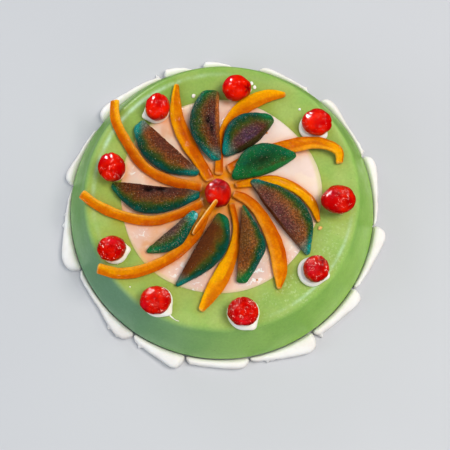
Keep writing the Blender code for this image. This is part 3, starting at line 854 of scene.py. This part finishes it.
def make_wedges(material, sugar_material):
    across, up = wedge_section()
    up = np.maximum(up, 0)
    random = np.random.default_rng(7)
    spots = []
    for number, (wedge, look) in enumerate(zip(WEDGES, WEDGE_LOOKS), 1):
        outer, inner, bow, widths, height, lifts = wedge
        start = np.array((*outer, 0.0))
        along = np.array((*inner, 0.0)) - start
        length = np.linalg.norm(along)
        to_skin = unit(np.array((along[1], -along[0], 0)))
        t = end_rows(120, length, WEDGE_END)
        arch = np.sin(math.pi * t)
        core = start + along * t[:, None] - to_skin * (bow * arch)[:, None]
        width = spline(widths, t) + bow * arch
        tall = height * (0.42 + 0.58 * np.maximum(arch, 0) ** 0.7)
        base = resting_height(core) + lifts[0] + (lifts[1] - lifts[0]) * t
        steep = 0 if number in SIDE_FACES else 0.11 * hill(across, 0.17, 0.1) * step(0.3, 0.7, up)
        rings = core[:, None] + to_skin * ((across - steep) * width[:, None])[..., None]
        rings[..., 2] += base[:, None] + up * tall[:, None]
        rings = round_ends(rings, t, length, WEDGE_END, 0.45)
        free = step(0.02, 0.25, up)
        hollow_shade = np.zeros(rings.shape[:2])
        relief = 0.3 * rough(rings, 9, 100 + number, 2) + 0.2 * rough(rings, 2.4, 120 + number, 2)
        for which, where, offset, long, wide, deep in HOLLOWS:
            if which == number:
                along_it = (t - where)[:, None] * length / long
                away = np.hypot(along_it, (across * width[:, None] - offset) / wide)
                dent = np.exp(-(away**2)) * step(0.5, 0.8, up)
                # The hollows are painted dark by their depth: painted shade in them.
                hollow_shade = np.maximum(hollow_shade, dent * min(1.4, 0.8 * deep))
                relief = relief - deep * dent
        rings = rings + outward(rings) * (free * relief)[..., None]
        marks = wedge_marks(number, look, rings, t, length, across, up, hollow_shade)
        name = f"wedge_{number}"
        make_piece(f"green_{name}", rings, material, name, marks)
        spots.append(sugar_spots(look[6], rings, up, random))
    make_sugar(np.concatenate(spots), sugar_material, random)


# -------- cherries on drops of cream

# The cherry in the middle, then each one round the rim: how lumpy and how wrinkled it is, where its pit
# is, as azimuth and elevation in degrees, how wide and how dark the pit is, where its painted sheen lies,
# again as azimuth and elevation, and how much of it is maroon
CHERRY_LOOKS = (
    (0.5, 0.2, 90, 68, 0.34, 0.8, 95, 35, 0.7), (0.7, 0.1, -16, 30, 0.3, 1, 140, 40, 0),
    (0.6, 0.2, 100, 82, 0.1, 0.2, 150, 30, 0), (0.7, 0.2, 280, 62, 0.14, 0.4, 120, 45, 0.2),
    (0.5, 1, 0, 85, 0.14, 0.4, 90, 60, 0.3), (0.5, 0.8, 0, 80, 0.14, 0.4, 215, 30, 0.15),
    (0.5, 1, 30, 80, 0.14, 0.4, 270, 35, 0.2), (0.5, 0.8, 50, 45, 0.3, 0.9, 200, 60, 0.45),
    (0.8, 0.5, 120, 75, 0.2, 0.4, 150, 55, 0.45), (0.8, 0.2, 10, 70, 0.12, 0.3, 130, 25, 0.1),
)
# Deep creases in cherries: cherry, azimuth that the crease faces, how far off its middle, depth
CHERRY_CREASES = ((2, 0, 0.3, 0.07), (3, 115, -0.05, 0.13), (3, 30, 0.25, 0.08), (9, 60, 0.45, 0.06))
# Under each cherry of the rim: the drop's x, y and radius, and its pulled tip's azimuth in degrees
CREAM_DROPS = (
    (13.5, 87.5, 8.3, 0), (-53, 68.5, 10.2, 202), (-86, 18, 9, 80), (-83, -47.5, 10.2, 8),
    (-49, -87, 11.8, -43), (16.5, -96, 12.5, -53), (70, -63.5, 11.6, -17), (89.5, -8, 9, -60),
    (73.5, 55, 11.5, -40),
)
# Up and over the drop: shares of its radius, of its height and of the tip's pull
DROP_ROWS = (
    (0.9, 0, 0.6), (1, 0.3, 1), (0.93, 0.75, 0.9), (0.82, 1, 0.4), (0.6, 1, 0), (0.3, 1, 0), (0.05, 1, 0),
)
DROP_HEIGHT = 4.6
TIP_PULL = 2.4


def ball(rows, columns):
    """Directions from the middle of a ball, in rings from the bottom to the top."""
    tilt = np.linspace(0.02, math.pi - 0.02, rows)[:, None]
    return polar(np.sin(tilt), circle(columns), -np.cos(tilt))


def node_box(node):
    low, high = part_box(node)
    return np.array(low) / MM, np.array(high) / MM


def make_cherry(number, look, material):
    node = f"cherry_{number or 'centre'}"
    low, high = node_box(node)
    way = ball(90, 120)
    lumpy, wrinkled, azimuth, elevation, pit_size, pit_dark, sheen_azimuth, sheen_elevation, ripe = look
    shift = way + (number + 3) * 5
    reach = 1 + lumpy * 0.1 * rough(shift, 0.9, number, 2) + 0.02 * bumps(shift, 0.3, number)
    folds = 1 - np.abs(rough(shift, 0.4, number + 7, 2))
    reach = reach - wrinkled * 0.04 * step(0.7, 1, folds) + wrinkled * 0.02 * bumps(shift, 0.16, number)
    for which, faces, offset, depth in CHERRY_CREASES:
        if which == number:
            line = way @ aim(faces, 0) - offset + 0.08 * bumps(shift, 0.5, 5)
            reach = reach - depth * hill(line, 0, 0.1) * step(-0.2, 0.3, way[..., 2])
    pit_way = aim(azimuth, elevation)
    off_pit = np.linalg.norm(way - pit_way, axis=-1)
    beside = unit(np.cross(pit_way, (0.3, 0.2, 1)))
    turn = np.arctan2(way @ np.cross(pit_way, beside), way @ beside)
    star = hill(off_pit / (pit_size * (1 + 0.4 * np.cos(5 * turn))), 0, 1)
    reach = reach - 0.3 * pit_size * star + 0.03 * hill(off_pit, pit_size * 2, 0.16)
    rings = way * reach[..., None]
    least, most = rings.min((0, 1)), rings.max((0, 1))
    rings = low + (rings - least) / (most - least) * (high - low)
    # Painted shade: darker low down round the sides and in the folds; the pit and the maroon share are the
    # cherry's own colour.
    edge = 0.7 * step(0.7, -0.1, way[..., 2])
    patchy = 0.6 + 0.6 * bumps(shift, 0.5, number + 30)
    deep = pit_dark * star + 0.35 * wrinkled * step(0.8, 1, folds) + edge + ripe * patchy
    # Painted sheen: a rosier patch where a reflection shows, in a direction given for each cherry.
    painted_sheen = 0.7 * hill(np.linalg.norm(way - aim(sheen_azimuth, sheen_elevation), axis=-1), 0, 0.4)
    # Painted highlights: pale flecks in patches on the upper, wrinkled part.
    in_patches = step(-0.5, 0.1, bumps(shift, 0.45, number + 53))
    painted_glints = 1.3 * wrinkled * in_patches * step(0.1, 0.5, way[..., 2]) * (1 - star)
    marks = {"deep": deep, "painted_sheen": painted_sheen * (1 - star), "puckered": 0.2 * wrinkled, "painted_glints": painted_glints}
    make_piece(f"red_{node}", rings, material, node, marks)


def make_drop(number, place, material):
    x, y, radius, tip = place
    cherry_low, cherry_high = node_box(f"cherry_{number}")
    cherry = (cherry_low + cherry_high) / 2
    size = cherry_high - cherry_low
    low, _ = node_box(f"cream_drop_{number}")
    angle = circle(96)
    t = np.linspace(0, 1, 34)
    share, up, pull = np.clip(spline(DROP_ROWS, t), 0, 1).T
    turn = (angle - math.radians(tip) + math.pi) % math.tau - math.pi
    reach = radius * share[:, None] + TIP_PULL * pull[:, None] * hill(turn, 0, 0.3)
    reach = reach * (1 + 0.02 * np.sin(3 * angle + number))
    rings = np.array((x, y, low[2])) + polar(reach, angle, DROP_HEIGHT * up[:, None])
    under = (rings[..., :2] - cherry[:2]) / (size[:2] / 2 + GAP)
    inside = np.maximum(0, 1 - (under**2).sum(-1))
    cup = cherry[2] - (size[2] / 2 + GAP) * np.sqrt(inside)
    rings[..., 2] = np.where(up[:, None] > 0, np.minimum(rings[..., 2], cup), rings[..., 2])
    marks = {"stain": step(0.05, 0.3, inside) * 0.6}
    make_piece(f"cream_swirl_{number}", rings, material, f"cream_drop_{number}", marks)


def make_cherries(cherry_material, cream_material):
    for number, look in enumerate(CHERRY_LOOKS):
        make_cherry(number, look, cherry_material)
    for number, drop in enumerate(CREAM_DROPS, 1):
        make_drop(number, drop, cream_material)


# -------- crumbs that fell on the cake

# Each crumb: x, y, its size along x, along y and up, and how stained the cream or how pithy the peel is
CREAM_CRUMBS = (
    (-23.2, 83, 3.2, 3.8, 2, 0.1), (24.3, 94, 2.6, 3.4, 1.4, 0), (26.8, 90.4, 2.8, 3.6, 1.2, 0),
    (63.2, 71.2, 2.2, 2.2, 1.6, 0), (-81, -56.7, 1.8, 1.6, 1.2, 0), (82.5, -65.5, 1.6, 1.2, 1, 0),
    (-70.8, -75.1, 1.4, 1.2, 0.8, 0),
)
PEEL_CRUMBS = (
    (77.1, -28.3, 3.6, 3.6, 1.6, 1.5), (27.3, -69.7, 1.6, 1.4, 0.9, 0.3), (36.1, 50.9, 2.4, 1.6, 0.9, 0.3),
)
# A thread of cream pulled off the fifth drop: x and y along it
THREAD = ((-40.6, -96.6), (-38.5, -98.2), (-36.4, -99.9), (-34.5, -101), (-32.4, -101.6))


def make_crumbs(kind, crumbs, material, mark):
    for number, (x, y, *size, share) in enumerate(crumbs, 1):
        way = ball(14, 18)
        size = np.array(size) / 2
        rings = way * (1 + 0.22 * rough(way + number * 7, 0.8, number, 2))[..., None] * size
        level = TOP_LEVEL if math.hypot(x, y) > ICING_RADIUS else ICING_TOP
        rings = rings + (x, y, level + 0.15 + size[2] * 0.8)
        make_piece(f"{kind}_crumb_{number}", rings, material, None, {mark: share})


def make_thread(material):
    t = np.linspace(0, 1, 24)
    middle = np.concatenate([spline(THREAD, t), np.full((24, 1), TOP_LEVEL + 0.75)], axis=1)
    turn = circle(12)
    thick = (0.55 - 0.35 * t)[:, None] * (1 + 0.3 * bumps(middle, 2, 3))[:, None]
    ahead = unit(np.gradient(middle, axis=0))
    side = np.cross(ahead, (0, 0, 1))
    rings = middle[:, None] + side[:, None] * (thick * np.cos(turn))[..., None]
    rings[..., 2] += thick * np.sin(turn)
    make_piece("cream_thread", rings, material, None, {"stain": 0.0})


# -------- how near the fruit is


def fruit_spots():
    """Points along every strip and at every cherry of the rim: x, y and how far the fruit reaches there."""
    t = np.linspace(0, 1, 40)
    spots = [spot for route in PEELS for spot in spline(route, t) * (1, 1, 0.5)]
    for number in range(1, 10):
        low, high = node_box(f"cherry_{number}")
        x, y, _ = (low + high) / 2
        spots.append((x, y, (high - low)[0] / 2))
    return spots


def nearness():
    """A function of points and a distance: 1 at the peel and cherries, fading over that distance."""
    spots = fruit_spots()

    def near(points, distance):
        flat = points[..., :2].reshape(-1, 2)
        nearest = np.full(len(flat), 1e9)
        for x, y, reach in spots:
            nearest = np.minimum(nearest, np.hypot(flat[:, 0] - x, flat[:, 1] - y) - reach)
        return np.exp(-np.maximum(nearest, 0) / distance).reshape(points.shape[:-1])

    return near


# -------- floor, lights and camera

VIEW_ELEVATION = math.radians(75.93)
VIEW_TARGET = Vector((0.00253, -0.0138, 0))
VIEW_DISTANCE = 0.7
LENS = 66.2  # mm, on a 36 mm wide sensor
FLOOR_REACH = 20  # metres from the cake to each edge of the floor
SKY_COLOUR = (0.84, 0.93, 1.0)
SKY_STRENGTH = 0.48
# Lamps: name, azimuth and elevation in degrees, distance and size in metres, power and colour
LAMPS = (
    ("key", 0, 67, 1.4, 0.6, 14.5, (1.0, 0.96, 0.9)),
    ("fill", 200, 28, 1.6, 0.9, 6, SKY_COLOUR),
    ("window", 125, 22, 1.6, 0.6, 4.5, (0.92, 0.96, 1.0)),
)
# Lamps that show only as highlights: azimuth and elevation in degrees, size in metres and power
GLINTS = (
    (122, 18, 0.3, 7), (142, 38, 0.12, 1.1), (45, 22, 0.18, 2.2), (70, 48, 0.1, 0.7), (105, 62, 0.08, 0.4),
    (205, 30, 0.1, 0.6), (-45, 45, 0.1, 0.6), (-100, 55, 0.08, 0.3),
)
GLINT_DISTANCE = 1.5
GLINT_COLOUR = (1.0, 0.98, 0.95)


def make_floor():
    f = Finish("floor", Roughness=0.7)
    shade = f.paint((196, 196, 200), (f.patches(400), 202, 202, 205))
    mesh = bpy.data.meshes.new("floor")
    corners = [(x * FLOOR_REACH, y * FLOOR_REACH, 0) for x, y in ((-1, -1), (1, -1), (1, 1), (-1, 1))]
    mesh.from_pydata(corners, [], [(0, 1, 2, 3)])
    mesh.materials.append(f.set(shade))
    floor = add_object("floor", mesh)
    floor.visible_glossy = False


def make_light(name, azimuth, elevation, distance, size, power, tint, glint=False):
    """A square light in a direction from the cake, facing it. A glint only makes highlights in gloss."""
    data = bpy.data.lights.new(name, "AREA")
    data.size = size
    data.energy = power
    data.color = tint
    light = add_object(name, data)
    light.location = Vector(aim(azimuth, elevation)) * distance
    light.rotation_euler = (-light.location).to_track_quat("-Z", "Y").to_euler()
    light.visible_glossy = glint
    light.visible_diffuse = not glint


def make_view():
    world = bpy.data.worlds.new("studio")
    world.use_nodes = True
    world.cycles_visibility.glossy = False
    sky = world.node_tree.nodes["Background"]
    sky.inputs["Color"].default_value = (*SKY_COLOUR, 1)
    sky.inputs["Strength"].default_value = SKY_STRENGTH
    scene = bpy.context.scene
    scene.world = world
    scene.view_settings.view_transform = "Standard"
    for lamp in LAMPS:
        make_light(*lamp)
    for number, (azimuth, elevation, size, power) in enumerate(GLINTS):
        name = f"glint_{number}"
        make_light(name, azimuth, elevation, GLINT_DISTANCE, size, power, GLINT_COLOUR, glint=True)
    data = bpy.data.cameras.new("camera")
    data.lens = LENS
    data.sensor_width = 36
    data.clip_start = 0.01
    camera = add_object("camera", data)
    back = Vector((0, -math.cos(VIEW_ELEVATION), math.sin(VIEW_ELEVATION)))
    camera.location = VIEW_TARGET + back * VIEW_DISTANCE
    camera.rotation_euler = (math.pi / 2 - VIEW_ELEVATION, 0, 0)
    scene.camera = camera


def main():
    near_fruit = nearness()
    cream = cream_finish()
    peel = peel_finish()
    make_cake(paste_finish(), near_fruit)
    make_icing(icing_finish(), near_fruit)
    make_border(border_finish())
    make_peels(peel)
    make_wedges(wedge_finish(), sugar_finish())
    make_cherries(cherry_finish(), cream)
    make_crumbs("cream", CREAM_CRUMBS, cream, "stain")
    make_crumbs("orange", PEEL_CRUMBS, peel, "pith")
    make_thread(cream)
    make_floor()
    make_view()


main()
